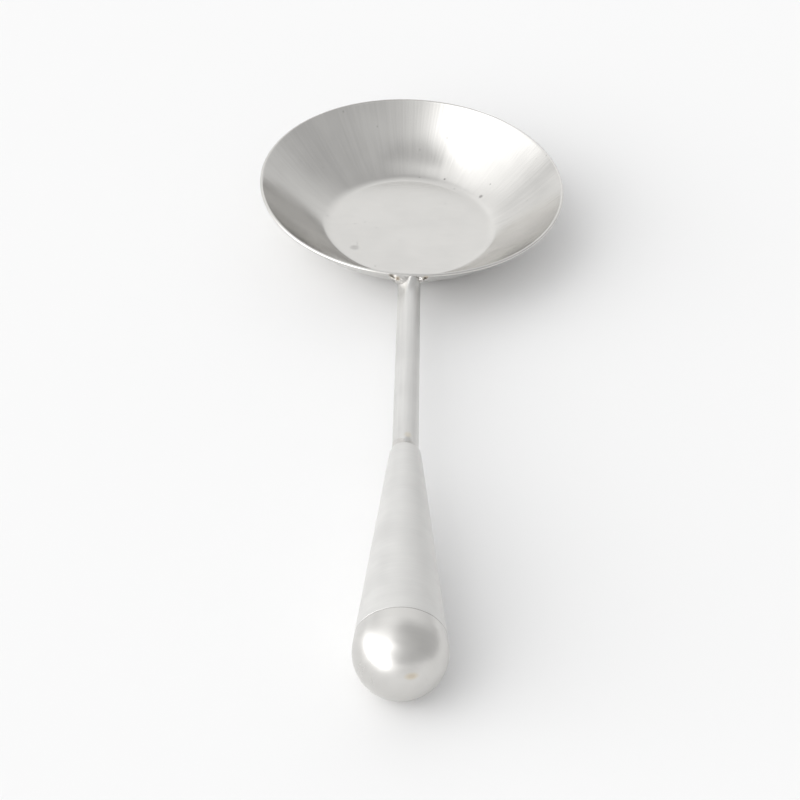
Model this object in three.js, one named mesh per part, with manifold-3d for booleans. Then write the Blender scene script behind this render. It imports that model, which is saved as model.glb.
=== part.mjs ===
// Round flat-bottomed serving spoon in stainless steel.
// A pressed bowl, a solid neck rod welded to the bowl's wall,
// and a hollow tapered handle closed by a welded domed cap.
// It lies level on the bowl's flat bottom and on the ball end of its handle.
// Millimetres, +Z up, table at Z = 0, the bowl's centre over the origin, the handle along -Y.

import * as THREE from 'three';
import { mergeVertices } from 'three/addons/utils/BufferGeometryUtils.js';
import Module from 'manifold-3d';

const wasm = await Module();
wasm.setup();

// Bowl
const RIM_RADIUS = 47.5;
const BOWL_HEIGHT = 18.0;
const BOWL_SHEET = 1.0;
const WALL_ANGLE = THREE.MathUtils.degToRad(44.5); // slope of the flared wall above the floor
const CORNER_RADIUS = 9.0; // inside, between floor and wall

// Neck rod
const NECK_RADIUS_AT_BOWL = 3.4;
const NECK_RADIUS_AT_HANDLE = 3.65;
const TANG_LENGTH = 15.0; // length of rod held inside the handle
const TANG_CHAMFER = 0.8;

// Handle
const OVERALL_LENGTH = 254.5;
const BALL_RADIUS = 12.25;
const HANDLE_SHEET = 1.0;
const NOSE_DISTANCE = 119.0; // from the bowl's centre to the handle's nose
const NOSE_RADIUS = 4.3; // where the taper would meet the plane of the nose
const NOSE_ROUND = 1.3; // blend along the taper behind the nose
const CAP_LENGTH = 16.5; // from the seam to the end of the ball

// Welds
const BEAD_RADIUS = 1.8;
const BEAD_TOP_ANGLE = THREE.MathUtils.degToRad(150); // round the rod, from its underside
const BEAD_STEPS = 26;
const BEAD_SIDES = 10;
const NOSE_WELD_LENGTH = 2.4;
const NOSE_WELD_HEIGHT = 0.45;
const GROOVE_DEPTH = 0.65; // weld groove between handle and cap
const GROOVE_HALF_WIDTH = 0.6;

// Clearances between neighbours
const CUT_GAP = 0.3; // to a piece that is cut to fit
const FIT_GAP = 0.12; // between pieces turned on one axis

// Fineness
const BOWL_SEGMENTS = 72;
const HANDLE_SEGMENTS = 48;
const ARC_STEPS = 4; // half the steps of each arc of a profile

// Worked-out places
const AXIS_HEIGHT = BALL_RADIUS;
const END_Y = RIM_RADIUS - OVERALL_LENGTH;
const BALL_Y = END_Y + BALL_RADIUS;
const NOSE_Y = -NOSE_DISTANCE;
const SEAM_Y = END_Y + CAP_LENGTH;
const TAPER_LENGTH = NOSE_Y - BALL_Y;
const TAPER_ANGLE = Math.asin(BALL_RADIUS / Math.hypot(TAPER_LENGTH, NOSE_RADIUS))
  - Math.atan2(NOSE_RADIUS, TAPER_LENGTH); // makes the cone run tangent into the ball

const DOWNWARDS = -Math.PI / 2; // directions in the bowl's profile, where arcs start and end
const OUTWARDS = DOWNWARDS + WALL_ANGLE; // square to the wall
const WALL_NORMAL = new THREE.Vector2(Math.sin(WALL_ANGLE), -Math.cos(WALL_ANGLE));
const WALL_SLOPE = new THREE.Vector2(Math.cos(WALL_ANGLE), Math.sin(WALL_ANGLE));
const RIM_CENTRE = new THREE.Vector2(RIM_RADIUS - BOWL_SHEET / 2, BOWL_HEIGHT - BOWL_SHEET / 2);
const OUTER_CORNER = CORNER_RADIUS + BOWL_SHEET;
const WALL_TOP = RIM_CENTRE.clone().addScaledVector(WALL_NORMAL, BOWL_SHEET / 2);
const FLOOR_EDGE = WALL_TOP.x
  - (OUTER_CORNER + (WALL_TOP.y - OUTER_CORNER) * Math.cos(WALL_ANGLE)) / Math.sin(WALL_ANGLE);
const CORNER_CENTRE = new THREE.Vector2(FLOOR_EDGE, OUTER_CORNER);

/** Radius of the bowl's outer wall at a height on its straight stretch. */
function wallRadius(height) {
  return WALL_TOP.x - (WALL_TOP.y - height) / Math.tan(WALL_ANGLE);
}

/** Radius of the handle's outer cone at a place along the handle. */
function taperRadius(y) {
  return NOSE_RADIUS + (NOSE_Y - y) * Math.tan(TAPER_ANGLE);
}

/** Radius of the neck rod at a place along it. */
function neckRadius(y) {
  const share = (-y - RIM_RADIUS) / (NOSE_DISTANCE - RIM_RADIUS);
  return THREE.MathUtils.lerp(NECK_RADIUS_AT_BOWL, NECK_RADIUS_AT_HANDLE, Math.min(share, 1));
}

/** Turns a profile of (radius, height) about the upright axis. */
function turnUpright(path, segments) {
  return new THREE.LatheGeometry(path.getPoints(ARC_STEPS), segments).rotateX(Math.PI / 2);
}

/** Turns a profile of (radius, place along Y) about the handle's axis. */
function turnOnHandle(path) {
  return new THREE.LatheGeometry(path.getPoints(ARC_STEPS), HANDLE_SEGMENTS).translate(0, 0, AXIS_HEIGHT);
}

/** Solid of a closed geometry, ready to be cut. */
function toSolid(geometry) {
  const bare = geometry.clone();
  bare.deleteAttribute('normal');
  bare.deleteAttribute('uv');
  const merged = mergeVertices(bare, 1e-4);
  return new wasm.Manifold(new wasm.Mesh({
    numProp: 3,
    vertProperties: new Float32Array(merged.attributes.position.array),
    triVerts: new Uint32Array(merged.index.array),
  }));
}

/** Geometry of a solid after its cuts. */
function toGeometry(solid) {
  const mesh = solid.getMesh();
  const geometry = new THREE.BufferGeometry();
  geometry.setAttribute('position', new THREE.BufferAttribute(mesh.vertProperties, mesh.numProp));
  geometry.setIndex(new THREE.BufferAttribute(mesh.triVerts, 1));
  geometry.computeVertexNormals();
  return geometry;
}

/** Adds the underside of the bowl to a path: flat floor, round corner and straight wall, grown outwards. */
function addUnderside(path, growth) {
  const wallEnd = WALL_TOP.clone().addScaledVector(WALL_NORMAL, growth);
  path.moveTo(0, -growth);
  path.lineTo(FLOOR_EDGE, -growth);
  path.absarc(CORNER_CENTRE.x, CORNER_CENTRE.y, OUTER_CORNER + growth, DOWNWARDS, OUTWARDS, false);
  path.lineTo(wallEnd.x, wallEnd.y);
  return wallEnd;
}

/** Bowl: one sheet with a flat floor, a round corner, a flared wall and a rounded rim. */
function bowlGeometry() {
  const path = new THREE.Path();
  addUnderside(path, 0);
  path.absarc(RIM_CENTRE.x, RIM_CENTRE.y, BOWL_SHEET / 2, OUTWARDS, OUTWARDS + Math.PI, false);
  const wallFoot = CORNER_CENTRE.clone().addScaledVector(WALL_NORMAL, CORNER_RADIUS);
  path.lineTo(wallFoot.x, wallFoot.y);
  path.absarc(CORNER_CENTRE.x, CORNER_CENTRE.y, CORNER_RADIUS, OUTWARDS, DOWNWARDS, true);
  path.lineTo(0, BOWL_SHEET);
  return turnUpright(path, BOWL_SEGMENTS);
}

/** The bowl's outside filled up past its rim, grown by the gap, which the rod and the beads are cut by. */
function bowlCutter() {
  const overshoot = 2 * BEAD_RADIUS;
  const path = new THREE.Path();
  const wallEnd = addUnderside(path, CUT_GAP).addScaledVector(WALL_SLOPE, overshoot);
  path.lineTo(wallEnd.x, wallEnd.y);
  path.lineTo(0, wallEnd.y);
  return toSolid(turnUpright(path, BOWL_SEGMENTS));
}

/** Profile of the neck rod with its tang, grown outwards, before its end is cut to the bowl's wall. */
function neckProfile(growth) {
  const tangY = NOSE_Y - TANG_LENGTH;
  const radius = NECK_RADIUS_AT_HANDLE + growth;
  const bowlEndY = -FLOOR_EDGE;
  const path = new THREE.Path();
  path.moveTo(0, tangY);
  path.lineTo(radius - TANG_CHAMFER, tangY);
  path.lineTo(radius, tangY + TANG_CHAMFER);
  path.lineTo(radius, NOSE_Y);
  path.lineTo(neckRadius(bowlEndY) + growth, bowlEndY);
  path.lineTo(0, bowlEndY);
  return path;
}

/** Neck rod: drawn bar, a little thicker towards the handle, its end coped to the bowl's flared wall. */
function neckGeometry(cutter) {
  return toGeometry(toSolid(turnOnHandle(neckProfile(0))).subtract(cutter));
}

/** Handle shell: a sheet cone, necked down on the rod at its nose and open at the seam. */
function handleGeometry() {
  const bore = NECK_RADIUS_AT_HANDLE + FIT_GAP;
  const seamEnd = SEAM_Y + FIT_GAP;
  const inner = (y) => taperRadius(y) - HANDLE_SHEET / Math.cos(TAPER_ANGLE);
  const boreEnd = NOSE_Y - (bore - inner(NOSE_Y)) / Math.tan(TAPER_ANGLE);
  const blendEnd = NOSE_Y - NOSE_ROUND;
  const faceRadius = (bore + NOSE_RADIUS) / 2;
  const path = new THREE.Path();
  path.moveTo(taperRadius(seamEnd) - GROOVE_DEPTH, seamEnd);
  path.lineTo(taperRadius(seamEnd + GROOVE_HALF_WIDTH), seamEnd + GROOVE_HALF_WIDTH);
  path.lineTo(taperRadius(blendEnd), blendEnd);
  path.quadraticCurveTo(NOSE_RADIUS, NOSE_Y, faceRadius, NOSE_Y);
  path.lineTo(bore, NOSE_Y);
  path.lineTo(bore, boreEnd);
  path.lineTo(inner(seamEnd), seamEnd);
  path.closePath();
  return turnOnHandle(path);
}

/** End cap: a pressed dome with a short tapered skirt, bevelled at the seam. */
function capGeometry() {
  const seamEnd = SEAM_Y - FIT_GAP;
  const skirtThickness = HANDLE_SHEET / Math.cos(TAPER_ANGLE);
  const tangentY = BALL_Y + BALL_RADIUS * Math.sin(TAPER_ANGLE);
  const path = new THREE.Path();
  path.absarc(0, BALL_Y, BALL_RADIUS, -Math.PI / 2, 0, false);
  path.lineTo(taperRadius(tangentY), tangentY);
  path.lineTo(taperRadius(seamEnd - GROOVE_HALF_WIDTH), seamEnd - GROOVE_HALF_WIDTH);
  path.lineTo(taperRadius(seamEnd) - GROOVE_DEPTH, seamEnd);
  path.lineTo(taperRadius(seamEnd) - skirtThickness, seamEnd);
  path.lineTo(taperRadius(tangentY) - skirtThickness, tangentY);
  path.absarc(0, BALL_Y, BALL_RADIUS - HANDLE_SHEET, 0, -Math.PI / 2, true);
  return turnOnHandle(path);
}

/** Seam weld: the ring that fills the groove between shell and cap, ground flush with both. */
function capWeldGeometry() {
  const top = GROOVE_HALF_WIDTH - FIT_GAP / 2;
  const root = GROOVE_DEPTH - 2 * FIT_GAP;
  const path = new THREE.Path();
  path.moveTo(taperRadius(SEAM_Y) - root, SEAM_Y - FIT_GAP / 2);
  path.lineTo(taperRadius(SEAM_Y - top), SEAM_Y - top);
  path.lineTo(taperRadius(SEAM_Y + top), SEAM_Y + top);
  path.lineTo(taperRadius(SEAM_Y) - root, SEAM_Y + FIT_GAP / 2);
  path.closePath();
  return turnOnHandle(path);
}

/** Nose weld: a hollow fillet between the rod and the handle's nose. */
function noseWeldGeometry() {
  const rootY = NOSE_Y + FIT_GAP;
  const toeY = NOSE_Y + NOSE_WELD_LENGTH;
  const bore = NECK_RADIUS_AT_HANDLE + FIT_GAP;
  const path = new THREE.Path();
  path.moveTo(bore, rootY);
  path.lineTo(bore + NOSE_WELD_HEIGHT, rootY);
  path.quadraticCurveTo(bore + FIT_GAP, rootY, bore + FIT_GAP / 2, toeY);
  path.lineTo(bore, toeY);
  path.closePath();
  return turnOnHandle(path);
}

/** Line that one bead follows, where rod and wall meet, from under the rod up to the rim. */
function beadLine(side) {
  const points = [];
  const startAngle = Math.asin(CUT_GAP / NECK_RADIUS_AT_BOWL);
  for (let step = 0; step <= BEAD_STEPS; step += 1) {
    const angle = THREE.MathUtils.lerp(startAngle, BEAD_TOP_ANGLE, step / BEAD_STEPS);
    const reach = NECK_RADIUS_AT_BOWL + CUT_GAP;
    const x = side * reach * Math.sin(angle);
    const height = AXIS_HEIGHT - reach * Math.cos(angle);
    const y = -Math.sqrt((wallRadius(height) + CUT_GAP) ** 2 - x ** 2);
    points.push(new THREE.Vector3(x, y, height));
  }
  return new THREE.CatmullRomCurve3(points);
}

/** Block over the rim beside the joint, by which the beads are ground flush. */
function rimCutter() {
  const depth = 4 * BEAD_RADIUS;
  const width = 2 * (NECK_RADIUS_AT_BOWL + depth);
  const block = new THREE.BoxGeometry(width, width, depth);
  return toSolid(block.translate(0, -RIM_RADIUS, BOWL_HEIGHT + depth / 2));
}

/** Bead: a run of weld along one side of the joint, seated on the rod and on the bowl's wall. */
function beadGeometry(side, cutter) {
  const section = new THREE.Shape();
  section.absarc(0, 0, BEAD_RADIUS, 0, 2 * Math.PI, false);
  const run = new THREE.ExtrudeGeometry(section, {
    steps: BEAD_STEPS,
    curveSegments: BEAD_SIDES,
    bevelEnabled: false,
    extrudePath: beadLine(side),
  });
  const rod = toSolid(turnOnHandle(neckProfile(CUT_GAP)));
  return toGeometry(toSolid(run).subtract(cutter).subtract(rod).subtract(rimCutter()));
}

/** Stainless steel with a given lightness and roughness. */
function steel(colour, roughness) {
  return new THREE.MeshStandardMaterial({ color: colour, roughness, metalness: 1.0 });
}

/** Adds one named piece to the spoon. */
function addPiece(group, name, geometry, material) {
  const mesh = new THREE.Mesh(geometry, material);
  mesh.name = name;
  group.add(mesh);
}

const spoon = new THREE.Group();
const cutter = bowlCutter();
addPiece(spoon, 'bowl', bowlGeometry(), steel(0xc9c8c5, 0.34));
addPiece(spoon, 'neck_rod', neckGeometry(cutter), steel(0xc8c7c4, 0.4));
addPiece(spoon, 'handle_shell', handleGeometry(), steel(0xcfcecb, 0.42));
addPiece(spoon, 'end_cap', capGeometry(), steel(0xcfcdca, 0.28));
addPiece(spoon, 'bowl_weld_left', beadGeometry(-1, cutter), steel(0xa8a39d, 0.5));
addPiece(spoon, 'bowl_weld_right', beadGeometry(1, cutter), steel(0xb4b0aa, 0.45));
addPiece(spoon, 'nose_weld', noseWeldGeometry(), steel(0xb9b6b1, 0.45));
addPiece(spoon, 'cap_weld', capWeldGeometry(), steel(0xc4c2bf, 0.38));

export default spoon;
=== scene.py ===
"""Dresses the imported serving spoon: finer surfaces for every piece, brushed steel, studio light, camera.

All shapes are surfaces worked out on grids with numpy, in millimetres, and put into meshes in metres.
The bowl's flat bottom lies on Z = 0 with its centre over the origin, and the handle runs along -Y.
"""

from __future__ import annotations

import logging
import math
from dataclasses import dataclass, field
from enum import Enum
from typing import Any, Optional

import bpy
import numpy as np
from mathutils import Matrix, Vector

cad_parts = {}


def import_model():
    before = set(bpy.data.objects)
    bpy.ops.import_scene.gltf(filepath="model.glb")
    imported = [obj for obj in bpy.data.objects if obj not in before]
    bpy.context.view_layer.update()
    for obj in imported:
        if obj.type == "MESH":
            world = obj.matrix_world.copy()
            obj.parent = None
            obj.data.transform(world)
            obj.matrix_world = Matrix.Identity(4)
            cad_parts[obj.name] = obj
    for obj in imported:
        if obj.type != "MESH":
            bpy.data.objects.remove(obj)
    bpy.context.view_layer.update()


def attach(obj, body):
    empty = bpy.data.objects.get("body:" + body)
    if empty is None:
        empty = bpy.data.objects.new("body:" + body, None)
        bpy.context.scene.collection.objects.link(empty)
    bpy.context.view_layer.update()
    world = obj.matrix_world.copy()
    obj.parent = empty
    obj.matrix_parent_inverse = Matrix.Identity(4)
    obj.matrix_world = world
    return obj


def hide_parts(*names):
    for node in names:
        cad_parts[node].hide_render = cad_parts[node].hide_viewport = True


LOG = logging.getLogger("serving_spoon")
MM = 0.001
BODY = "root"
GRAIN = "grain"

Array = np.ndarray


class Side(Enum):
    """Side of the joint that a weld bead lies on, seen from the handle."""

    LEFT = -1
    RIGHT = 1


class Grain(Enum):
    """Way in which the brush strokes of a finish run."""

    RADIAL = "from the floor up to the rim"
    LENGTHWISE = "along the handle's axis"
    ROUND = "round the handle's axis"
    NONE = "no strokes"

    def space(self, points: Array) -> Array:
        """Stretches points so that a noise in them draws strokes, seamless round the piece.

        With the angle a and the distance r from the piece's axis: (40 cos a, 40 sin a, 0.05 r) for radial
        strokes, (x, 0.03 y, z) for lengthwise ones, (0.04 x, y + r, 0.04 z) for round ones, and the point
        itself for none.

        Args:
            points: (n, 3) array of points in millimetres.

        Returns:
            An (n, 3) array.
        """
        x, y, z = points.T
        if self is Grain.RADIAL:
            angle = np.arctan2(y, x)
            return np.stack([40.0 * np.cos(angle), 40.0 * np.sin(angle), 0.05 * np.hypot(x, y)], axis=-1)
        if self is Grain.LENGTHWISE:
            return points * np.array([1.0, 0.03, 1.0])
        if self is Grain.ROUND:
            return np.stack([0.04 * x, y + np.hypot(x, z - HandleSizes().axis_height), 0.04 * z], axis=-1)
        return points


def smooth_step(low: float, high: float, value: Array) -> Array:
    """Rises from 0 at low to 1 at high by the cubic 3t^2 - 2t^3."""
    share = np.clip((value - low) / (high - low), 0.0, 1.0)
    return share * share * (3.0 - 2.0 * share)


def ripple(first: Array, second: Array, waves: tuple[tuple[float, float, float], ...]) -> Array:
    """Adds up sines of two parameters: sin(a * first + b * second + c) for each wave.

    Args:
        first: First parameter over the grid.
        second: Second parameter over the grid.
        waves: Factors a and b and the phase c of each wave.

    Returns:
        The mean of the waves, between -1 and 1.
    """
    total = sum(np.sin(a * first + b * second + c) for a, b, c in waves)
    return total / len(waves)


def running_sum(values: Array, places: Array) -> Array:
    """Integral of the values from the first place to each place, by trapezia."""
    return np.concatenate([[0.0], np.cumsum((values[1:] + values[:-1]) / 2.0 * np.diff(places))])


def chain(*stretches: Array) -> Array:
    """Joins (n, 2) stretches of a profile, leaving out the doubled first point of each later one."""
    return np.concatenate([stretches[0]] + [stretch[1:] for stretch in stretches[1:]])


def line(start: tuple[float, float], end: tuple[float, float], steps: int) -> Array:
    """Straight stretch of a profile, evenly divided."""
    return np.linspace(start, end, steps + 1)


def arc(centre: tuple[float, float], radius: float, start: float, end: float, steps: int) -> Array:
    """Round stretch of a profile: centre + radius * (cos, sin) of evenly divided angles in radians."""
    angle = np.linspace(start, end, steps + 1)
    return np.stack([centre[0] + radius * np.cos(angle), centre[1] + radius * np.sin(angle)], axis=-1)


def guided(start: Any, guide: Any, end: Any, share: Array) -> Array:
    """Curve with three guide points: (1 - t)^2 start + 2 t (1 - t) guide + t^2 end, with t the share."""
    return (1 - share) ** 2 * start + 2 * share * (1 - share) * guide + share ** 2 * end


@dataclass
class SurfaceGrid:
    """A grid of points in millimetres that becomes one closed mesh.

    Rows run along a profile and columns run round an axis. A pole is one point that closes a row of columns.
    """

    name: str
    points: Array
    ring_rows: bool = False
    first_pole: Optional[Array] = None
    last_pole: Optional[Array] = None
    grain: Grain = Grain.NONE

    def _quads(self) -> Array:
        """Corner numbers of the grid's quads.

        Returns:
            An (n, 4) array of point numbers.
        """
        rows, columns = self.points.shape[:2]
        row, column = np.indices((rows if self.ring_rows else rows - 1, columns))
        row_after, column_after = (row + 1) % rows, (column + 1) % columns
        corners = [(row, column), (row, column_after), (row_after, column_after), (row_after, column)]
        return np.stack([r * columns + c for r, c in corners], axis=-1).reshape(-1, 4)

    def _fan(self, row: int, pole: int) -> Array:
        """Triangles between a pole and one end row.

        Args:
            row: Number of the end row.
            pole: Point number of the pole.

        Returns:
            An (n, 3) array of point numbers.
        """
        columns = self.points.shape[1]
        column = np.arange(columns)
        after = (column + 1) % columns
        if row != 0:
            column, after = after, column
        return np.stack([np.full_like(column, pole), row * columns + after, row * columns + column], axis=-1)

    def build(self) -> bpy.types.Object:
        """Makes the mesh, turns its faces outwards, smooths it and stores the grain's coordinates.

        Returns:
            The new object, linked to the scene, at the origin.
        """
        vertices = self.points.reshape(-1, 3)
        faces = [self._quads()]
        for row, pole in ((0, self.first_pole), (len(self.points) - 1, self.last_pole)):
            if pole is not None:
                faces.append(self._fan(row, len(vertices)))
                vertices = np.vstack([vertices, pole])
        triangles = np.concatenate([f[:, [0, k, k + 1]] for f in faces for k in range(1, f.shape[1] - 1)])
        corner = vertices[triangles]
        volume = np.einsum("ij,ij->i", corner[:, 0], np.cross(corner[:, 1], corner[:, 2])).sum()
        if volume < 0:
            faces = [f[:, ::-1] for f in faces]
        mesh = bpy.data.meshes.new(self.name)
        mesh.from_pydata((vertices * MM).tolist(), [], [face for f in faces for face in f.tolist()])
        stretched = self.grain.space(vertices).astype(np.float32)
        mesh.attributes.new(GRAIN, "FLOAT_VECTOR", "POINT").data.foreach_set("vector", stretched.ravel())
        mesh.polygons.foreach_set("use_smooth", np.ones(len(mesh.polygons), bool))
        mesh.update()
        if mesh.validate():
            LOG.warning("%s had faults that were mended", self.name)
        piece = bpy.data.objects.new(self.name, mesh)
        bpy.context.scene.collection.objects.link(piece)
        return piece


def turned(profile: Array, columns: int, centre_height: Optional[float] = None) -> Array:
    """Turns a profile about an axis: radius * (cos, sin) across the axis, the other value along it.

    Args:
        profile: (n, 2) array of radius and place along the axis; (n, columns, 2) where it changes round it.
        columns: Number of columns round the axis.
        centre_height: Height of the handle's axis along Y, or None for the upright axis through the origin.

    Returns:
        An (n, columns, 3) array of points.
    """
    angle = np.linspace(0.0, 2.0 * np.pi, columns, endpoint=False)
    if profile.ndim == 2:
        profile = np.broadcast_to(profile[:, None], (len(profile), columns, 2))
    radius, along = profile[..., 0], profile[..., 1]
    if centre_height is None:
        return np.stack([radius * np.cos(angle), radius * np.sin(angle), along], axis=-1)
    return np.stack([radius * np.cos(angle), along, centre_height + radius * np.sin(angle)], axis=-1)


class SpoonPiece:
    """A piece of the spoon: each kind builds its own mesh, and all are dressed in the same way."""

    def build(self) -> bpy.types.Object:
        """Makes the piece's mesh."""
        raise NotImplementedError

    def dress(self, material: bpy.types.Material, node: str, slot: str) -> None:
        """Builds the piece, gives it its material, hangs it on the body and hides the solid that it replaces.

        Args:
            material: The piece's finish.
            node: Name of the solid that it replaces.
            slot: Not used.
        """
        piece = self.build()
        piece.data.materials.append(material)
        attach(piece, BODY)
        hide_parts(node)
        LOG.info("%s: %d faces", piece.name, len(piece.data.polygons))


@dataclass(frozen=True)
class BowlSizes:
    """Sizes of the bowl in millimetres and degrees."""

    rim_radius: float = 47.5
    height: float = 18.0
    sheet: float = 1.0
    crease_width: float = 3.0
    crease_angle: float = 24.0
    rim_angle: float = 46.5
    curve_power: float = 0.45
    crease_steps: int = 12
    wall_steps: int = 60

    @property
    def rim_centre(self) -> tuple[float, float]:
        """Centre of the rounded edge, as radius and height."""
        return self.rim_radius - self.sheet / 2, self.height - self.sheet / 2

    def middle(self) -> Array:
        """Middle line of the sheet from the floor's edge to the rim, with its slope.

        Over the crease's width the slope rises evenly from 0 to the crease's angle c. Over the wall it goes
        on to the rim's angle e as c + (e - c) * u ** power, with u from 0 to 1. The height is the integral
        of the slope's tangent, and the wall is as wide as it must be to reach the rim's height.

        Returns:
            (n, 3) array of radius, height and slope in radians.
        """
        crease = np.linspace(0.0, 1.0, self.crease_steps + 1)
        wall = np.linspace(0.0, 1.0, self.wall_steps + 1)
        bend = self.crease_angle * crease
        curve = self.crease_angle + (self.rim_angle - self.crease_angle) * wall ** self.curve_power
        first = self.crease_width * running_sum(np.tan(np.radians(bend)), crease)
        second = running_sum(np.tan(np.radians(curve)), wall)
        rim_radius, rim_height = self.rim_centre
        width = (rim_height - self.sheet / 2 - first[-1]) / second[-1]
        across = np.concatenate([self.crease_width * crease, self.crease_width + width * wall[1:]])
        height = self.sheet / 2 + np.concatenate([first, first[-1] + width * second[1:]])
        slope = np.radians(np.concatenate([bend, curve[1:]]))
        return np.stack([rim_radius - across[-1] + across, height, slope], axis=-1)

    def face(self, side: float) -> Array:
        """Line beside the middle line, half a sheet away along the slope's normal.

        Args:
            side: 1 for the inside, -1 for the outside.

        Returns:
            (n, 2) array of radius and height.
        """
        radius, height, slope = self.middle().T
        shift = side * self.sheet / 2
        return np.stack([radius - shift * np.sin(slope), height + shift * np.cos(slope)], axis=-1)

    def wall_front(self, x: Array, height: Array) -> Array:
        """Y of the outer wall's front at (x, height): -sqrt(radius^2 - x^2)."""
        wall = self.face(-1.0)
        return -np.sqrt(np.interp(height, wall[:, 1], wall[:, 0]) ** 2 - x ** 2)


@dataclass(frozen=True)
class HandleSizes:
    """Sizes of the rod and the hollow handle in millimetres."""

    end: float = -207.0
    ball_radius: float = 12.25
    sheet: float = 1.0
    nose: float = -120.1
    nose_radius: float = 4.3
    seam: float = -190.5
    rod_at_bowl: float = 3.4
    rod_at_handle: float = 3.65
    tang_end: float = -134.0
    fit_gap: float = 0.12

    @property
    def axis_height(self) -> float:
        """Height of the handle's axis: the ball touches the table."""
        return self.ball_radius

    @property
    def ball_centre(self) -> float:
        """Place of the ball's centre along Y."""
        return self.end + self.ball_radius

    @property
    def taper(self) -> float:
        """Half angle of the cone that runs tangent into the ball.

        With the ball's radius R, the nose's radius r and the distance L between them it is
        asin(R / hypot(L, r)) - atan(r / L).

        Returns:
            The angle in radians.
        """
        length, small = self.nose - self.ball_centre, self.nose_radius
        return math.asin(self.ball_radius / math.hypot(length, small)) - math.atan2(small, length)

    def cone(self, y: Array) -> Array:
        """Radius of the cone at a place along Y: nose radius plus distance times the tangent of the taper."""
        return self.nose_radius + (self.nose - y) * math.tan(self.taper)

    def rod(self, y: Array, bowl_front: float) -> Array:
        """Radius of the rod at a place along Y, a straight line between its two ends."""
        share = np.clip((-y - bowl_front) / (-self.nose - bowl_front), 0.0, 1.0)
        return self.rod_at_bowl + share * (self.rod_at_handle - self.rod_at_bowl)


@dataclass
class SpoonBowl(SpoonPiece):
    """The pressed bowl: flat floor, crease, curved wall and rounded rim."""

    sizes: BowlSizes
    columns: int = 360
    centre_ring: float = 1.5
    wander_depth: float = 0.05
    wander_start: tuple[float, float] = (-2.0, 5.0)
    wander_end: tuple[float, float] = (40.0, 46.5)
    waves: tuple[tuple[float, float, float], ...] = (
        (3.0, 0.10, 0.4), (5.0, -0.16, 1.9), (8.0, 0.21, 3.3), (11.0, 0.13, 5.0))

    def profile(self) -> Array:
        """Closed profile from the middle of the underside over the rim to the middle of the inside.

        Returns:
            (n, 2) array of radius and height without the two end points on the axis.
        """
        s = self.sizes
        outside, inside = s.face(-1.0), s.face(1.0)[::-1]
        out = math.radians(s.rim_angle) - math.pi / 2
        rim = arc(s.rim_centre, s.sheet / 2, out, out + math.pi, 16)
        return chain(
            line((self.centre_ring, 0.0), tuple(outside[0]), 12),
            outside,
            rim,
            inside,
            line(tuple(inside[-1]), (self.centre_ring, s.sheet), 20),
        )

    def build(self) -> bpy.types.Object:
        """Turns the profile and lets the wall wander by a few hundredths, as a hand-finished pressing does.

        The wander is a sum of sines of the angle and the radius. It sets in from the floor's edge outwards,
        over the start's two distances, and ends between the end's two radii.

        Returns:
            The bowl as one closed piece.
        """
        s = self.sizes
        points = turned(self.profile(), self.columns)
        angle = np.arctan2(points[..., 1], points[..., 0])
        radius = np.hypot(points[..., 0], points[..., 1])
        floor_edge, lean = s.middle()[0, 0], math.radians(s.rim_angle)
        start, whole = (floor_edge + distance for distance in self.wander_start)
        held = smooth_step(start, whole, radius) * (1.0 - smooth_step(*self.wander_end, radius))
        move = self.wander_depth * ripple(angle, radius, self.waves) * held
        points[..., 0] -= move * math.sin(lean) * np.cos(angle)
        points[..., 1] -= move * math.sin(lean) * np.sin(angle)
        points[..., 2] += np.maximum(move * math.cos(lean), -points[..., 2])
        low, top = np.zeros(3), np.array([0.0, 0.0, s.sheet])
        return SurfaceGrid("bowl_sheet", points, first_pole=low, last_pole=top, grain=Grain.RADIAL).build()


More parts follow.
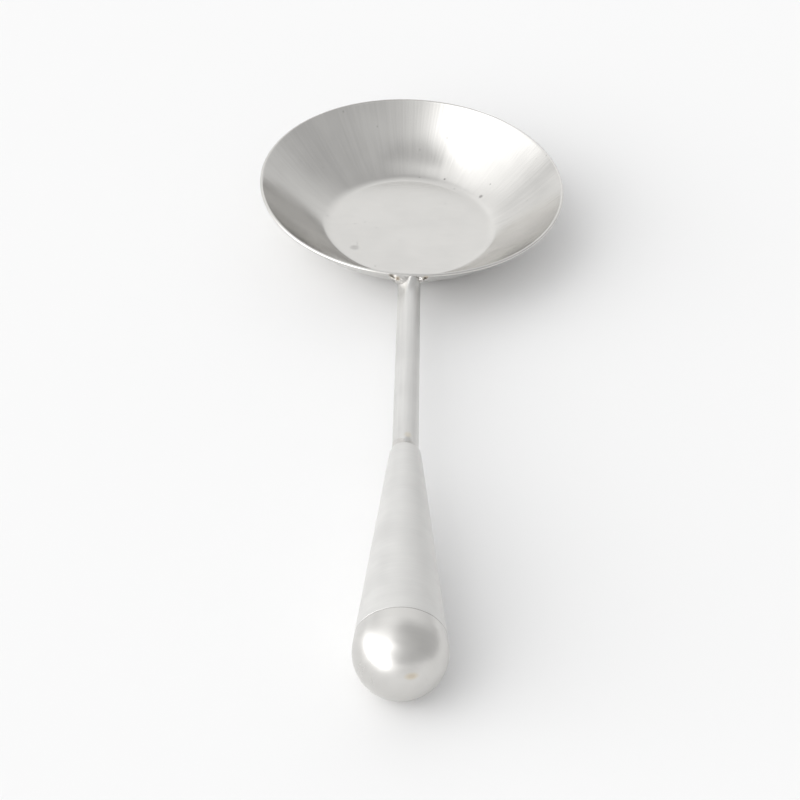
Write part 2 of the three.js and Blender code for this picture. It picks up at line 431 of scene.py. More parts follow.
@dataclass
class NeckRod(SpoonPiece):
    """The drawn bar between bowl and handle, built up to the rim and filed flat beside the left weld."""

    bowl: BowlSizes
    handle: HandleSizes
    columns: int = 96
    rows: int = 150
    flat_depth: float = 0.40
    flat_length: float = 12.5
    flat_angle: float = 132.0
    rise: float = 2.15
    rise_length: float = 5.5
    sunk: float = 0.15
    row_crowding: float = 1.6

    def section(self, angle: Array, y: Array) -> Array:
        """Radius of the bar: the round bar, raised on top towards the rim and cut by a plane beside that.

        The raised top is rise * u^2 * sin(angle)^3, with u from 0 to 1 over the rise's length. The plane lies
        at (radius - depth) / cos(angle from its middle), and its depth falls evenly to nothing.

        Args:
            angle: Angle round the axis, in radians from +X towards +Z.
            y: Place along the bar.

        Returns:
            Radius at each point.
        """
        front, flat = -self.bowl.rim_radius, math.radians(self.flat_angle)
        bar = self.handle.rod(y, self.bowl.rim_radius)
        rise = self.rise * np.clip(1.0 - (front - y) / self.rise_length, 0.0, 1.0) ** 2
        radius = bar + rise * np.maximum(np.sin(angle), 0.0) ** 3
        depth = self.flat_depth * np.clip(1.0 - (front - y) / self.flat_length, 0.0, 1.2)
        plane = (bar + rise * math.sin(flat) ** 3 - depth) / np.maximum(np.cos(angle - flat), 0.2)
        return np.where(depth > 0.0, np.minimum(radius, plane), radius)

    def build(self) -> bpy.types.Object:
        """Runs rows of the section from the bowl's wall, a little sunk in it, to the end of the tang.

        The rows lie closer together towards the wall.

        Returns:
            The rod as one closed piece.
        """
        h = self.handle
        angle = np.linspace(0.0, 2.0 * np.pi, self.columns, endpoint=False)[None]
        share = np.linspace(0.0, 1.0, self.rows)[:, None] ** self.row_crowding
        start_radius = self.section(angle, np.full_like(angle, -self.bowl.rim_radius))
        start = self.bowl.wall_front(
            start_radius * np.cos(angle), h.axis_height + start_radius * np.sin(angle)) + self.sunk
        y = start + share * (h.tang_end - start)
        radius = self.section(angle, y)
        points = np.stack([radius * np.cos(angle), y, h.axis_height + radius * np.sin(angle)], axis=-1)
        first = np.array([0.0, float(start.mean()), h.axis_height])
        last = np.array([0.0, h.tang_end, h.axis_height])
        grid = SurfaceGrid("neck_bar", points, first_pole=first, last_pole=last, grain=Grain.LENGTHWISE)
        return grid.build()


@dataclass
class HandleShell(SpoonPiece):
    """The hollow sheet cone with its rounded nose."""

    handle: HandleSizes
    columns: int = 144
    nose_round: float = 2.6
    edge_round: float = 0.12
    lip: float = 0.10

    def build(self) -> bpy.types.Object:
        """Turns the closed profile: seam edge, outer cone, rounded nose, bore round the rod, inner cone.

        Returns:
            The shell as one closed piece.
        """
        h = self.handle
        bore = h.rod_at_handle + h.fit_gap
        seam = h.seam + h.fit_gap / 2
        thick = h.sheet / math.cos(h.taper)
        inside = h.nose - (bore - (h.nose_radius - thick)) / math.tan(h.taper)
        blend = h.nose - self.nose_round
        knee = np.array([h.nose_radius, h.nose])
        tip = np.array([bore + self.lip, h.nose])
        start = np.array([h.cone(blend), blend])
        nose = guided(start, knee, tip, np.linspace(0.0, 1.0, 15)[:, None])
        rim, small = float(h.cone(seam)), self.edge_round
        edge = arc((rim - small, seam + small), small, -math.pi / 2, h.taper, 5)
        profile = chain(
            edge,
            line(tuple(edge[-1]), tuple(start), 60),
            nose,
            line(tuple(tip), (bore, h.nose - self.lip), 1),
            line((bore, h.nose - self.lip), (bore, inside), 4),
            line((bore, inside), (rim - thick, seam), 24),
        )
        points = turned(profile, self.columns, h.axis_height)
        return SurfaceGrid("handle_cone", points, ring_rows=True, grain=Grain.ROUND).build()


@dataclass
class EndCap(SpoonPiece):
    """The pressed dome that closes the handle."""

    handle: HandleSizes
    columns: int = 144
    edge_round: float = 0.12

    def build(self) -> bpy.types.Object:
        """Turns the dome, its short skirt and its inside: a ball that runs tangent into the cone.

        Returns:
            The cap as one closed piece.
        """
        h = self.handle
        seam = h.seam - h.fit_gap / 2
        thick = h.sheet / math.cos(h.taper)
        pole = -math.pi / 2
        dome = arc((0.0, h.ball_centre), h.ball_radius, pole, h.taper, 56)[1:]
        inner = arc((0.0, h.ball_centre), h.ball_radius - h.sheet, h.taper, pole, 24)[:-1]
        rim, small = float(h.cone(seam)), self.edge_round
        edge = arc((rim - small, seam - small), small, h.taper, math.pi / 2, 5)
        profile = chain(
            dome,
            line(tuple(dome[-1]), tuple(edge[0]), 4),
            edge,
            line(tuple(edge[-1]), (rim - thick, seam), 2),
            line((rim - thick, seam), tuple(inner[0]), 4),
            inner,
        )
        first = np.array([0.0, h.end, h.axis_height])
        last = np.array([0.0, h.end + h.sheet, h.axis_height])
        points = turned(profile, self.columns, h.axis_height)
        return SurfaceGrid("dome_cap", points, first_pole=first, last_pole=last, grain=Grain.ROUND).build()


@dataclass
class SeamRing(SpoonPiece):
    """The ground seam weld between shell and cap."""

    handle: HandleSizes
    columns: int = 144
    half_width: float = 0.30
    root: float = 0.60
    sunk: float = 0.03

    def build(self) -> bpy.types.Object:
        """Turns a thin ring a few hundredths below the cone, so that a fine line shows at the seam.

        Returns:
            The ring as one closed piece.
        """
        h = self.handle
        y = h.seam + np.linspace(-self.half_width, self.half_width, 9)
        top = np.stack([h.cone(y) - self.sunk, y], axis=-1)
        low = float(h.cone(h.seam)) - self.root
        profile = chain(
            top,
            line(tuple(top[-1]), (low, h.seam + h.fit_gap / 2), 2),
            line((low, h.seam + h.fit_gap / 2), (low, h.seam - h.fit_gap / 2), 1),
            line((low, h.seam - h.fit_gap / 2), tuple(top[0]), 2),
        )[:-1]
        points = turned(profile, self.columns, h.axis_height)
        return SurfaceGrid("seam_ring", points, ring_rows=True, grain=Grain.ROUND).build()


@dataclass
class NoseFillet(SpoonPiece):
    """The fillet weld that runs from the rod onto the handle's nose."""

    handle: HandleSizes
    columns: int = 144
    rows: int = 24
    toe_left: float = 3.4
    toe_right: float = 0.6
    overlap: float = 0.75
    knee_ahead: float = 0.15
    knee_height: float = 0.10
    sunk_in_nose: float = 0.13
    sunk_in_rod: float = 0.03
    root: float = 0.06
    root_back: float = 0.1
    pit_depth: float = 0.16
    pit_place: tuple[float, float] = (0.1, 0.8)
    pit_size: tuple[float, float] = (0.75, 0.55)

    def build(self) -> bpy.types.Object:
        """Carries a hollow fillet round the rod: longer on the left than on the right, with a pit on top.

        The fillet is a curve with three guide points, from a toe on the rod to a toe on the rounded nose.
        The pit is a bell-shaped hollow.

        Returns:
            The fillet as one closed piece.
        """
        h = self.handle
        angle = np.linspace(0.0, 2.0 * np.pi, self.columns, endpoint=False)[None]
        left = 0.5 - 0.5 * np.cos(angle)
        toe = self.toe_right + (self.toe_left - self.toe_right) * left
        bore = h.rod_at_handle
        share = np.linspace(0.0, 1.0, self.rows)[:, None]
        y = guided(h.nose - self.overlap, h.nose + self.knee_ahead, h.nose + toe, share)
        radius = guided(
            h.nose_radius - self.sunk_in_nose, bore + self.knee_height, bore - self.sunk_in_rod, share)
        radius = np.broadcast_to(radius, y.shape).copy()
        across = (radius * np.cos(angle) - self.pit_place[0]) / self.pit_size[0]
        along = (y - h.nose - self.pit_place[1]) / self.pit_size[1]
        radius -= self.pit_depth * np.exp(-across ** 2 - along ** 2) * (np.sin(angle) > 0)
        root = np.full_like(y[:1], bore - self.root)
        under = np.stack([root, np.full_like(root, h.nose - self.overlap)], axis=-1)
        last = np.stack([root, y[-1:] - self.root_back], axis=-1)
        profile = np.concatenate([np.stack([radius, y], axis=-1), last, under])
        points = turned(profile, self.columns, h.axis_height)
        return SurfaceGrid("nose_fillet", points, ring_rows=True).build()


@dataclass
class BowlWeld(SpoonPiece):
    """One half of the fillet weld between the rod and the bowl's wall, with an ear up to the rim."""

    side: Side
    bowl: BowlSizes
    handle: HandleSizes
    along_rod: float
    along_wall: float
    ear_reach: float
    ear_along_rod: float
    hollow_centre: tuple[float, float]
    hollow_size: tuple[float, float]
    hollow_depth: float
    last_turn: float
    ear_turn: float = 131.0
    ear_below: float = 23.0
    ear_over_top: float = 23.0
    fade_turn: float = 30.0
    toe: float = 0.15
    root: float = 0.3
    lump_height: float = 0.07
    waves: tuple[tuple[float, float, float], ...] = ((3.1, 1.3, 0.3), (5.3, -2.1, 1.7), (8.7, 3.4, 4.1))
    columns: int = 150
    rows: int = 36
    top_limit: float = 17.75
    sunk: float = 0.08

    def build(self) -> bpy.types.Object:
        """Carries a bead section round the rod, from below it up to the rim.

        At each angle from the underside the section is a curve with three guide points, from a toe on the rod
        to a toe on the wall. The ear at the upper flank is a bell-shaped rise of both reaches, exp(-q^2) with
        q the turn from the ear's middle over its width below or over the top, and all fades out at the last
        turn. Small sines make the bead lumpy, and a bell-shaped hollow makes its pinhole or crater.

        Returns:
            The bead as one closed piece, named for its side.
        """
        h, b, sign = self.handle, self.bowl, self.side.value
        degrees = np.linspace(0.0, self.last_turn, self.columns)[None]
        turn = np.radians(degrees)
        share = np.linspace(0.0, 1.0, self.rows)[:, None]
        rod = h.rod_at_bowl - self.sunk
        past_ear = degrees - self.ear_turn
        ear = np.exp(-(past_ear / np.where(past_ear > 0.0, self.ear_over_top, self.ear_below)) ** 2)
        fade = 1.0 - smooth_step(self.last_turn - self.fade_turn, self.last_turn, degrees)
        limit = (self.top_limit - h.axis_height) / np.maximum(-np.cos(turn), 0.3)
        reach = rod + fade * np.minimum(self.along_wall + self.ear_reach * ear, limit - rod)
        on_rod = self.toe + fade * (self.along_rod + self.ear_along_rod * ear)
        direction = np.stack([sign * np.sin(turn), -np.cos(turn)], axis=-1)
        rod_point = rod * direction
        wall_point = reach[..., None] * direction
        corner_y = b.wall_front(rod_point[..., 0], h.axis_height + rod_point[..., 1])
        wall_y = b.wall_front(wall_point[..., 0], h.axis_height + wall_point[..., 1]) + self.sunk
        start = np.concatenate([rod_point, (corner_y - on_rod)[..., None]], axis=-1)
        end = np.concatenate([wall_point, wall_y[..., None]], axis=-1)
        corner = np.concatenate([rod_point, corner_y[..., None]], axis=-1)
        away = (start + end) / 2 - corner
        surface = guided(start, corner + (0.55 + ear)[..., None] * away, end, share[..., None])
        away = away / np.linalg.norm(away, axis=-1, keepdims=True)
        lumps = ripple(turn * rod, share * 4.0, self.waves)
        belly = np.sin(np.pi * share)
        place = (surface[..., :2] - np.array(self.hollow_centre)) / np.array(self.hollow_size)
        bell = np.exp(-(place ** 2).sum(axis=-1))
        hollow = self.hollow_depth * bell * np.minimum(1.0, 3.0 * belly)
        rise = self.lump_height * lumps * belly * (0.4 + ear) - hollow
        surface = surface + rise[..., None] * away
        section = np.concatenate([surface, corner + np.array([0.0, 0.0, self.root])], axis=0)
        points = np.stack([section[..., 0], section[..., 2], h.axis_height + section[..., 1]], axis=-1)
        points = points.transpose(1, 0, 2)
        first, last = points[0].mean(axis=0), points[-1].mean(axis=0)
        return SurfaceGrid(f"weld_{self.side.name.lower()}", points, first_pole=first, last_pole=last).build()


@dataclass
class NodeSheet:
    """A node tree and short ways to fill it."""

    tree: bpy.types.NodeTree

    def node(self, kind: str, inputs: dict[str | int, Any], **settings: Any) -> bpy.types.Node:
        """Adds a node, sets its properties, and links or sets its inputs.

        Args:
            kind: Type name of the node.
            inputs: Sockets to link, or values to set, by input name or number.
            settings: Properties of the node.

        Returns:
            The new node.
        """
        node = self.tree.nodes.new(kind)
        for name, value in settings.items():
            setattr(node, name, value)
        for key, value in inputs.items():
            if isinstance(value, bpy.types.NodeSocket):
                self.tree.links.new(value, node.inputs[key])
            else:
                node.inputs[key].default_value = value
        return node

    def math(self, operation: str, first: Any, second: Any = 0.0) -> bpy.types.NodeSocket:
        """Works out one value from two."""
        return self.node("ShaderNodeMath", {0: first, 1: second}, operation=operation).outputs[0]

    def vector(self, operation: str, first: Any, second: Any) -> bpy.types.NodeSocket:
        """Works out one vector from two."""
        return self.node("ShaderNodeVectorMath", {0: first, 1: second}, operation=operation).outputs["Vector"]

    def scaled(self, vector: Any, factor: Any) -> bpy.types.NodeSocket:
        """Multiplies a vector or colour by a value."""
        node = self.node("ShaderNodeVectorMath", {0: vector, "Scale": factor}, operation="SCALE")
        return node.outputs["Vector"]

    def length(self, vector: Any) -> bpy.types.NodeSocket:
        """Length of a vector."""
        return self.node("ShaderNodeVectorMath", {0: vector}, operation="LENGTH").outputs["Value"]

    def fade(self, value: Any, low: Any, high: Any,
             at_low: Any = 0.0, at_high: Any = 1.0) -> bpy.types.NodeSocket:
        """Runs smoothly from one value to another while the input runs from low to high.

        Args:
            value: The input.
            low: Input at which the change starts.
            high: Input at which it ends.
            at_low: Value below the start.
            at_high: Value beyond the end.

        Returns:
            The faded value.
        """
        inputs = {0: value, 1: low, 2: high, 3: at_low, 4: at_high}
        return self.node("ShaderNodeMapRange", inputs, interpolation_type="SMOOTHSTEP").outputs[0]

    def between(self, share: Any, first: Any, second: Any) -> bpy.types.NodeSocket:
        """Blends two values."""
        return self.node("ShaderNodeMix", {0: share, 2: first, 3: second}, data_type="FLOAT").outputs[0]

    def noise(self, place: Any, scale: Any, detail: float = 2.0) -> bpy.types.NodeSocket:
        """Soft noise between 0 and 1."""
        inputs = {"Vector": place, "Scale": scale, "Detail": detail}
        return self.node("ShaderNodeTexNoise", inputs).outputs[0]

    def shared(self, group: bpy.types.NodeTree, **inputs: Any) -> bpy.types.Node:
        """Puts in a shared group; its inputs are given by their names with _ for blanks."""
        named = {name.replace("_", " ").capitalize(): value for name, value in inputs.items()}
        return self.node("ShaderNodeGroup", named, node_tree=group)


class Socket(Enum):
    """Kinds of group sockets."""

    VALUE = "NodeSocketFloat"
    VECTOR = "NodeSocketVector"
    COLOUR = "NodeSocketColor"


@dataclass
class SharedGroups:
    """The shader groups that the finishes share."""

    strokes: bpy.types.NodeTree = field(init=False)
    mark: bpy.types.NodeTree = field(init=False)
    specks: bpy.types.NodeTree = field(init=False)
    heat_tint: bpy.types.NodeTree = field(init=False)

    def __post_init__(self) -> None:
        """Makes the groups."""
        self.strokes = self._strokes()
        self.mark = self._mark()
        self.specks = self._specks()
        self.heat_tint = self._heat_tint()

    @staticmethod
    def _new(name: str, inputs: dict[str, Socket], outputs: dict[str, Socket]) -> tuple[NodeSheet, Any, Any]:
        """Starts a group with its sockets.

        Args:
            name: Name of the group.
            inputs: Kinds of its inputs by name.
            outputs: Kinds of its outputs by name.

        Returns:
            The group's sheet, the outputs of its input node and the inputs of its output node.
        """
        tree = bpy.data.node_groups.new(name, "ShaderNodeTree")
        for way, sockets in (("INPUT", inputs), ("OUTPUT", outputs)):
            for title, kind in sockets.items():
                tree.interface.new_socket(title, in_out=way, socket_type=kind.value)
        given = tree.nodes.new("NodeGroupInput").outputs
        result = tree.nodes.new("NodeGroupOutput").inputs
        return NodeSheet(tree), given, result

    def _strokes(self) -> bpy.types.NodeTree:
        """Brush strokes: fine and broad noise in stretched coordinates.

        Returns:
            The group.
        """
        sheet, given, result = self._new(
            "brush strokes", {"Grain": Socket.VECTOR, "Fineness": Socket.VALUE},
            {"Fine": Socket.VALUE, "Broad": Socket.VALUE})
        fine = sheet.noise(given["Grain"], given["Fineness"], 3.0)
        broad = sheet.noise(given["Grain"], sheet.math("MULTIPLY", given["Fineness"], 0.16), 2.0)
        sheet.tree.links.new(sheet.fade(fine, 0.28, 0.72, -1.0, 1.0), result["Fine"])
        sheet.tree.links.new(sheet.fade(broad, 0.28, 0.72, -1.0, 1.0), result["Broad"])
        return sheet.tree

    def _mark(self) -> bpy.types.NodeTree:
        """One soft mark: 1 at its centre, falling to 0 at its half size.

        Returns:
            The group.
        """
        sheet, given, result = self._new(
            "soft mark", {"Place": Socket.VECTOR, "Centre": Socket.VECTOR, "Half size": Socket.VECTOR},
            {"Mask": Socket.VALUE})
        away = sheet.vector("SUBTRACT", given["Place"], given["Centre"])
        reach = sheet.length(sheet.vector("DIVIDE", away, given["Half size"]))
        sheet.tree.links.new(sheet.fade(reach, 0.25, 1.0, 1.0, 0.0), result["Mask"])
        return sheet.tree

    def _specks(self) -> bpy.types.NodeTree:
        """Sparse small pits: one chance place in each cell, of a chance size.

        Returns:
            The group.
        """
        sheet, given, result = self._new(
            "sparse specks", {"Place": Socket.VECTOR, "Density": Socket.VALUE, "Size": Socket.VALUE},
            {"Mask": Socket.VALUE})
        cells = sheet.node("ShaderNodeTexVoronoi", {"Vector": given["Place"], "Scale": given["Density"]})
        chance = sheet.node("ShaderNodeSeparateColor", {0: cells.outputs["Color"]}).outputs[0]
        size = sheet.math("MULTIPLY", sheet.math("POWER", chance, 5.0), given["Size"])
        share = sheet.math("DIVIDE", cells.outputs["Distance"], sheet.math("MAXIMUM", size, 1e-4))
        sheet.tree.links.new(sheet.fade(share, 0.5, 1.0, 1.0, 0.0), result["Mask"])
        return sheet.tree

    def _heat_tint(self) -> bpy.types.NodeTree:
        """Temper colours of heated steel: straw, brown, purple grey and dark scale, for heat from 0 to 1.

        Returns:
            The group.
        """
        sheet, given, result = self._new(
            "heat tint", {"Steel": Socket.COLOUR, "Heat": Socket.VALUE}, {"Colour": Socket.COLOUR})
        ramp = sheet.node("ShaderNodeValToRGB", {0: given["Heat"]})
        steps = [(0.0, (1.0, 1.0, 1.0)), (0.3, (0.97, 0.91, 0.80)), (0.5, (0.74, 0.60, 0.50)),
                 (0.72, (0.50, 0.43, 0.45)), (1.0, (0.06, 0.055, 0.05))]
        stops = ramp.color_ramp.elements
        while len(stops) < len(steps):
            stops.new(1.0)
        for stop, (place, colour) in zip(stops, steps):
            stop.position = place
            stop.color = (*colour, 1.0)
        tinted = sheet.node("ShaderNodeMix", {0: 1.0, 6: given["Steel"], 7: ramp.outputs[0]},
                            data_type="RGBA", blend_type="MULTIPLY")
        sheet.tree.links.new(tinted.outputs[2], result["Colour"])
        return sheet.tree


@dataclass(frozen=True)
class Mark:
    """A mark on a surface: where it lies, how far it reaches, and how strong it is."""

    centre: tuple[float, float, float]
    half_size: tuple[float, float, float]
    strength: float


# Grey stain and pinpricks on the bowl's floor and wall
BOWL_STAINS = (
    Mark((-17.1, -12.5, 1.0), (2.0, 1.8, 2.0), 0.22),
    Mark((-16.3, -10.5, 1.0), (0.35, 1.9, 2.0), 0.10),
    Mark((11.05, 25.5, 1.8), (0.50, 0.45, 2.0), 0.50),
    Mark((22.75, 16.5, 2.2), (0.9, 0.8, 2.0), 0.45),
    Mark((-26.2, 3.3, 1.5), (0.35, 0.3, 2.0), 0.35),
    Mark((-14.2, 1.2, 1.0), (0.3, 0.3, 2.0), 0.35),
    Mark((-10.5, -1.45, 1.0), (0.3, 0.3, 2.0), 0.35),
    Mark((-10.4, -21.6, 1.0), (0.3, 0.3, 2.0), 0.35),
    Mark((2.9, 26.5, 1.5), (0.3, 0.3, 2.0), 0.35),
    Mark((-35.7, 18.5, 10.0), (0.5, 0.5, 2.0), 0.40),
)
# Painted shade: darkens the crater on the left and the pinhole on the right of the bowl's weld, where shade
# falls in these hollows
WELD_PAINTED_SHADE = (
    Mark((4.6, -47.6, 16.6), (0.7, 2.6, 0.7), 0.95),
    Mark((-5.5, -47.6, 17.2), (1.3, 2.6, 0.8), 0.70),
    Mark((-4.9, -47.6, 16.3), (0.8, 2.6, 1.1), 0.55),
    Mark((-4.1, -48.0, 16.9), (0.9, 2.6, 0.8), 0.40),
)
# Temper colours round the crater and the pinhole
WELD_HEAT = (
    Mark((4.9, -47.6, 16.9), (1.5, 2.6, 1.2), 0.40),
    Mark((-5.5, -47.6, 17.1), (1.5, 2.4, 1.0), 0.25),
    Mark((-3.6, -47.8, 16.9), (1.0, 2.4, 0.8), 0.42),
)
# Painted shade: darkens the pit on top of the nose's weld and a line along the nose's edge, where shade falls
NOSE_PAINTED_SHADE = (
    Mark((0.6, -118.9, 15.9), (1.5, 2.3, 1.5), 0.26),
    Mark((1.4, -120.4, 15.8), (1.7, 0.5, 1.2), 0.25),
)
# Temper colour on the rod before the nose
NOSE_HEAT = (Mark((0.5, -116.6, 15.9), (1.5, 1.6, 1.5), 0.20),)
# Straw spot at the cap's end
CAP_HEAT = (Mark((2.7, -206.1, 16.0), (2.4, 2.6, 1.3), 0.34),)


@dataclass
class Surface:
    """Sockets of a finish while it is put together."""

    sheet: NodeSheet
    groups: SharedGroups
    place: bpy.types.NodeSocket
    grain: bpy.types.NodeSocket
    colour: Any = None
    roughness: Any = None
    height: Any = None

    def marks(self, marks: tuple[Mark, ...]) -> Any:
        """Adds up the masks of marks, each times its strength.

        Args:
            marks: The marks.

        Returns:
            Socket of the sum, or 0 where there is no mark.
        """
        sheet, total = self.sheet, 0.0
        for mark in marks:
            mask = sheet.shared(
                self.groups.mark, place=self.place, centre=mark.centre, half_size=mark.half_size)
            total = sheet.math("ADD", total, sheet.math("MULTIPLY", mask.outputs[0], mark.strength))
        return total

    def tint(self, heat: Any) -> None:
        """Colours the steel by its heat."""
        self.colour = self.sheet.shared(self.groups.heat_tint, steel=self.colour, heat=heat).outputs[0]


@dataclass(frozen=True)
class SteelFinish:
    """A brushed steel finish: strokes, broad clouds, specks and heat marks over one steel colour."""

    name: str
    colour: tuple[float, float, float]
    roughness: float
    fineness: float
    stroke_tone: float
    stroke_roughness: float
    stroke_depth: float
    cloud_tone: float = 0.03
    cloud_roughness: float = 0.03
    heat: tuple[Mark, ...] = ()
    # Real stains together with painted shade in the weld's crater, pinhole and pit
    stains_and_shade: tuple[Mark, ...] = ()

    def paint(self, surface: Surface) -> None:
        """Works out colour, roughness and height of the brushed steel.

        Args:
            surface: The sockets to fill.
        """
        sheet = surface.sheet
        strokes = sheet.shared(surface.groups.strokes, grain=surface.grain, fineness=self.fineness)
        fine, broad = strokes.outputs
        both = sheet.math("ADD", sheet.math("MULTIPLY", fine, 0.6), sheet.math("MULTIPLY", broad, 0.4))
        cloud = sheet.fade(sheet.noise(surface.place, 0.11), 0.3, 0.7, -1.0, 1.0)
        self.mix(surface, both, cloud)
        self.blemish_and_shade(surface, 0.0)

    def blemish_and_shade(self, surface: Surface, grime: Any) -> None:
        """Darkens the colour by stains, painted shade and grime, then tints it by the heat marks.

        Args:
            surface: The sockets to fill.
            grime: Share of darkness that comes on top of the stains and the painted shade.
        """
        sheet = surface.sheet
        # Real stains and painted shade in the weld's hollows darken the colour here
        dark = sheet.math("ADD", surface.marks(self.stains_and_shade), grime)
        surface.colour = sheet.scaled(surface.colour, sheet.math("SUBTRACT", 1.0, dark))
        surface.tint(surface.marks(self.heat))

    def mix(self, surface: Surface, strokes: Any, cloud: Any) -> None:
        """Fills in the three sockets from the strokes and the clouds.

        Args:
            surface: The sockets to fill.
            strokes: Strokes between -1 and 1.
            cloud: Clouds between -1 and 1.
        """
        sheet = surface.sheet
        tone = sheet.math("MULTIPLY_ADD", strokes, self.stroke_tone)
        tone.node.inputs[2].default_value = 1.0
        shade = sheet.math("MULTIPLY_ADD", cloud, self.cloud_tone)
        sheet.tree.links.new(tone, shade.node.inputs[2])
        surface.colour = sheet.scaled(self.colour, shade)
        rough = sheet.math("MULTIPLY_ADD", strokes, self.stroke_roughness)
        rough.node.inputs[2].default_value = self.roughness
        surface.roughness = sheet.math("MULTIPLY_ADD", cloud, self.cloud_roughness)
        sheet.tree.links.new(rough, surface.roughness.node.inputs[2])
        surface.height = strokes

    def material(self, groups: SharedGroups) -> bpy.types.Material:
        """Makes the material.

        Args:
            groups: The shared shader groups.

        Returns:
            The new material.
        """
        material = bpy.data.materials.new(self.name)
        material.use_nodes = True
        sheet = NodeSheet(material.node_tree)
        shader = material.node_tree.nodes["Principled BSDF"]
        metres = sheet.node("ShaderNodeTexCoord", {}).outputs["Object"]
        grain = sheet.node("ShaderNodeAttribute", {}, attribute_name=GRAIN).outputs["Vector"]
        surface = Surface(sheet, groups, sheet.scaled(metres, 1.0 / MM), grain)
        self.paint(surface)
        depth = self.stroke_depth * MM
        bump = sheet.node("ShaderNodeBump", {"Height": surface.height, "Distance": depth, "Strength": 1.0})
        sheet.tree.links.new(surface.colour, shader.inputs["Base Color"])
        sheet.tree.links.new(surface.roughness, shader.inputs["Roughness"])
        sheet.tree.links.new(bump.outputs[0], shader.inputs["Normal"])
        shader.inputs["Metallic"].default_value = 1.0
        return material


@dataclass(frozen=True)
class BowlFinish(SteelFinish):
    """The bowl's finish: strokes up the wall, level grain on the floor, a polished rim, stains, painted shade
    at the weld and specks.
    """

    floor_reach: tuple[float, float] = (25.0, 28.5)
    floor_share: float = 0.35
    rim_start: float = 46.7
    rim_polish: float = 0.6
    speck_density: float = 0.35
    speck_size: float = 0.16
    speck_tone: float = 0.2

    def paint(self, surface: Surface) -> None:
        """Works out the bowl's colour, roughness and height.

        Args:
            surface: The sockets to fill.
        """
        sheet, groups = surface.sheet, surface.groups
        radius = sheet.length(sheet.vector("MULTIPLY", surface.place, (1.0, 1.0, 0.0)))
        wall = sheet.shared(groups.strokes, grain=surface.grain, fineness=self.fineness)
        level = sheet.vector("MULTIPLY", surface.place, (0.05, 1.0, 1.0))
        floor = sheet.shared(groups.strokes, grain=level, fineness=self.fineness * 2.0)
        on_wall = sheet.fade(radius, *self.floor_reach)
        strokes = sheet.between(0.55, wall.outputs["Fine"], wall.outputs["Broad"])
        grain = sheet.math("MULTIPLY", floor.outputs["Fine"], self.floor_share)
        both = sheet.between(on_wall, grain, strokes)
        cloud = sheet.fade(sheet.noise(surface.place, 0.07), 0.3, 0.7, -1.0, 1.0)
        self.mix(surface, both, cloud)
        polish = sheet.fade(radius, self.rim_start - 0.5, self.rim_start, 1.0, self.rim_polish)
        surface.roughness = sheet.math("MULTIPLY", surface.roughness, polish)
        specks = sheet.shared(
            groups.specks, place=surface.place, density=self.speck_density, size=self.speck_size)
        # Darkens by specks, real stains and the painted shade at the weld, then tints by heat
        self.blemish_and_shade(surface, sheet.math("MULTIPLY", specks.outputs[0], self.speck_tone))


@dataclass(frozen=True)
class Glow:
    """A soft patch of light, or of dark where the strength is negative, on the dome round the spoon.

    The azimuth is 0 on the handle's side and 90 on the right; the elevation is the height above the table.
    With q the distance of a direction from the centre, measured in half sizes, the patch is whole up to
    the core and fades to nothing at 1.
    """

    azimuth: float
    elevation: float
    half_size: tuple[float, float, float]
    strength: float
    core: float

    def light(self, sheet: NodeSheet, direction: Any) -> bpy.types.NodeSocket:
        """Light of the patch in a direction.

        Args:
            sheet: Node tree of the world.
            direction: Socket with the direction.

        Returns:
            The light.
        """
        swing, lift = math.radians(self.azimuth), math.radians(self.elevation)
        centre = (math.cos(lift) * math.sin(swing), -math.cos(lift) * math.cos(swing), math.sin(lift))
        away = sheet.vector("SUBTRACT", direction, centre)
        reach = sheet.length(sheet.vector("DIVIDE", away, self.half_size))
        return sheet.fade(reach, self.core, 1.0, self.strength, 0.0)


@dataclass(frozen=True)
class StudioCamera:
    """The camera: where it stands, how it is turned and how far it sees, for an 800 x 800 picture."""

    place: tuple[float, float, float] = (-11.580, -587.060, 431.760)
    elevation: float = 40.6170
    azimuth: float = 1.1417
    roll: float = 3.2709
    focal_pixels: float = 2285.69
    picture_pixels: float = 800.0
    sensor: float = 36.0

    def build(self) -> bpy.types.Object:
        """Makes the camera from its right, up and ahead directions and sets it as the scene's.

        Returns:
            The camera.
        """
        lift, swing, roll = (math.radians(a) for a in (self.elevation, self.azimuth, self.roll))
        ahead = Vector((math.sin(swing) * math.cos(lift), math.cos(swing) * math.cos(lift), -math.sin(lift)))
        level = Vector((math.cos(swing), -math.sin(swing), 0.0))
        above = level.cross(ahead)
        right = math.cos(roll) * level + math.sin(roll) * above
        up = math.cos(roll) * above - math.sin(roll) * level
        data = bpy.data.cameras.new("studio_camera")
        data.sensor_width = self.sensor
        data.lens = self.focal_pixels / self.picture_pixels * self.sensor
        data.clip_start, data.clip_end = 0.01, 50.0
        camera = bpy.data.objects.new("studio_camera", data)
        bpy.context.scene.collection.objects.link(camera)
        turn = Matrix((right, up, -ahead)).transposed().to_4x4()
        camera.matrix_world = Matrix.Translation(Vector(self.place) * MM) @ turn
        bpy.context.scene.camera = camera
        return camera


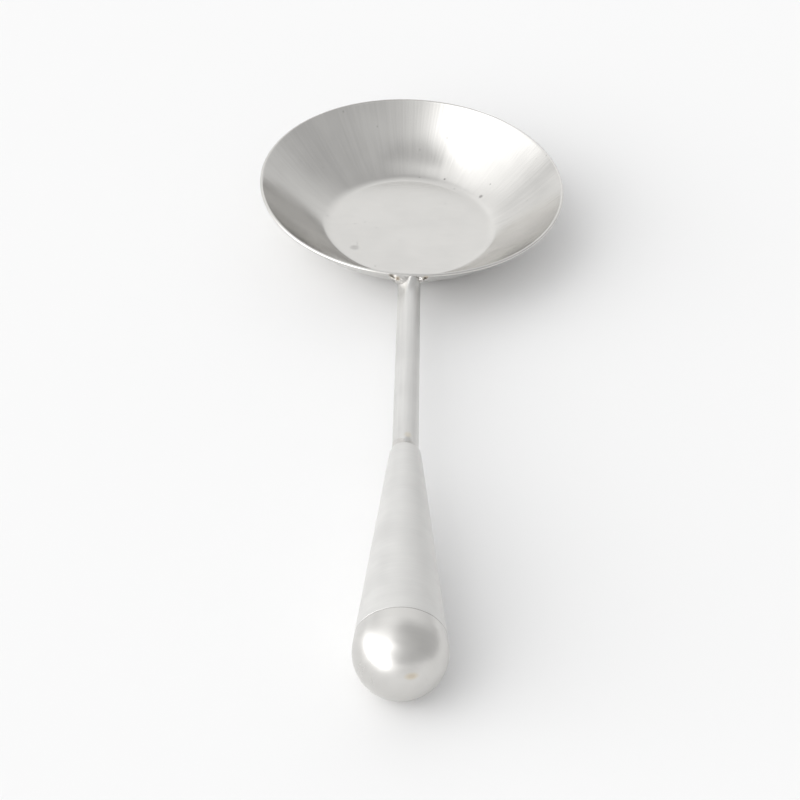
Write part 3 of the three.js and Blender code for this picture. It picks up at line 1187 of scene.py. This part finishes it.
@dataclass
class Studio:
    """Floor and a dome of soft light: an even grey with the glows added to it."""

    floor_half: float = 3.0
    floor_tone: float = 0.9
    floor_roughness: float = 0.9
    dome_tone: float = 0.57
    darkest: float = 0.02
    glows: tuple[Glow, ...] = (
        # Broad bright side on the left
        Glow(285.0, -5.0, (1.9, 0.9, 1.6), 1.0, 0.55),
        # Brightest panel, low on the left
        Glow(305.0, 15.0, (0.5, 1.0, 0.4), 1.4, 0.7),
        # Soft light from behind
        Glow(195.0, 30.0, (1.9, 0.7, 1.0), 0.5, 0.0),
        # Low band round the left
        Glow(305.0, 0.0, (2.0, 1.5, 0.4), 0.6, 0.8),
        # Narrow dark gap high on the left
        Glow(315.0, 65.0, (0.8, 0.2, 0.1), -0.5, 0.2),
        # Panel below the gap
        Glow(300.0, 48.0, (1.2, 0.3, 0.2), 0.7, 0.6),
        # Soft panel high behind
        Glow(225.0, 55.0, (0.6, 0.5, 0.9), 0.4, 0.1),
        # Dark band low on the handle's side
        Glow(15.0, 0.0, (0.7, 1.1, 0.15), -0.7, 0.5),
    )

    def _floor(self) -> None:
        """Makes the plain pale table."""
        half, tone = self.floor_half, self.floor_tone
        mesh = bpy.data.meshes.new("floor")
        corners = [(-half, -half, 0), (half, -half, 0), (half, half, 0), (-half, half, 0)]
        mesh.from_pydata(corners, [], [(0, 1, 2, 3)])
        floor = bpy.data.objects.new("floor", mesh)
        bpy.context.scene.collection.objects.link(floor)
        material = bpy.data.materials.new("pale_floor")
        material.use_nodes = True
        shader = material.node_tree.nodes["Principled BSDF"]
        shader.inputs["Base Color"].default_value = (tone, tone, tone, 1.0)
        shader.inputs["Roughness"].default_value = self.floor_roughness
        mesh.materials.append(material)

    def build(self) -> None:
        """Makes the floor and the dome."""
        self._floor()
        world = bpy.data.worlds.new("studio_world")
        world.use_nodes = True
        sheet = NodeSheet(world.node_tree)
        direction = sheet.node("ShaderNodeTexCoord", {}).outputs["Generated"]
        light = self.dome_tone
        for glow in self.glows:
            light = sheet.math("ADD", glow.light(sheet, direction), light)
        background = world.node_tree.nodes["Background"].inputs
        sheet.tree.links.new(sheet.math("MAXIMUM", light, self.darkest), background["Strength"])
        background["Color"].default_value = (1.0, 1.0, 1.0, 1.0)
        bpy.context.scene.world = world


def main() -> None:
    """Builds and dresses the spoon's pieces in order, then the studio and the camera."""
    logging.basicConfig(level=logging.INFO, format="%(name)s: %(message)s")
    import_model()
    bowl, handle = BowlSizes(), HandleSizes()
    groups = SharedGroups()
    # The finishes darken by real stains and by painted shade in the weld's crater, pinhole and the nose's pit
    bowl_steel = BowlFinish(
        "bowl_brushed", (0.67, 0.66, 0.64), roughness=0.17, fineness=1.4, stroke_tone=0.04,
        stroke_roughness=0.028, stroke_depth=0.007,
        heat=WELD_HEAT, stains_and_shade=BOWL_STAINS + WELD_PAINTED_SHADE).material(groups)
    rod_steel = SteelFinish(
        "neck_drawn", (0.685, 0.68, 0.665), roughness=0.40, fineness=2.0, stroke_tone=0.05,
        stroke_roughness=0.06, stroke_depth=0.010,
        heat=NOSE_HEAT + WELD_HEAT, stains_and_shade=NOSE_PAINTED_SHADE + WELD_PAINTED_SHADE).material(groups)
    cone_steel = SteelFinish(
        "handle_satin", (0.715, 0.71, 0.695), roughness=0.46, fineness=2.2, stroke_tone=0.03,
        stroke_roughness=0.05, stroke_depth=0.006, heat=NOSE_HEAT, stains_and_shade=NOSE_PAINTED_SHADE).material(groups)
    cap_steel = SteelFinish(
        "cap_polished", (0.66, 0.65, 0.63), roughness=0.31, fineness=1.6, stroke_tone=0.012,
        stroke_roughness=0.015, stroke_depth=0.001, heat=CAP_HEAT).material(groups)
    seam_steel = SteelFinish(
        "seam_ground", (0.40, 0.39, 0.375), roughness=0.38, fineness=1.6, stroke_tone=0.05,
        stroke_roughness=0.05, stroke_depth=0.004).material(groups)
    weld_steel = SteelFinish(
        "weld_metal", (0.62, 0.605, 0.585), roughness=0.34, fineness=1.5, stroke_tone=0.08,
        stroke_roughness=0.08, stroke_depth=0.03,
        heat=WELD_HEAT + NOSE_HEAT, stains_and_shade=WELD_PAINTED_SHADE + NOSE_PAINTED_SHADE).material(groups)
    SpoonBowl(bowl).dress(bowl_steel, "bowl", "bowl_steel")
    NeckRod(bowl, handle).dress(rod_steel, "neck_rod", "neck_steel")
    HandleShell(handle).dress(cone_steel, "handle_shell", "handle_steel")
    EndCap(handle).dress(cap_steel, "end_cap", "cap_steel")
    SeamRing(handle).dress(seam_steel, "cap_weld", "cap_steel")
    NoseFillet(handle).dress(weld_steel, "nose_weld", "weld_metal")
    left = BowlWeld(
        Side.LEFT, bowl, handle, along_rod=2.2, along_wall=1.0, ear_reach=3.7, ear_along_rod=0.9,
        hollow_centre=(-5.4, 4.7), hollow_size=(0.9, 0.7), hollow_depth=0.6, last_turn=205.0,
        ear_over_top=50.0)
    right = BowlWeld(
        Side.RIGHT, bowl, handle, along_rod=1.0, along_wall=0.5, ear_reach=3.2, ear_along_rod=1.0,
        hollow_centre=(4.55, 4.3), hollow_size=(0.40, 0.40), hollow_depth=0.8, last_turn=175.0)
    left.dress(weld_steel, "bowl_weld_left", "weld_metal")
    right.dress(weld_steel, "bowl_weld_right", "weld_metal")
    Studio().build()
    StudioCamera().build()
    bpy.context.scene.view_settings.view_transform = "Standard"


if __name__ == "__main__":
    main()
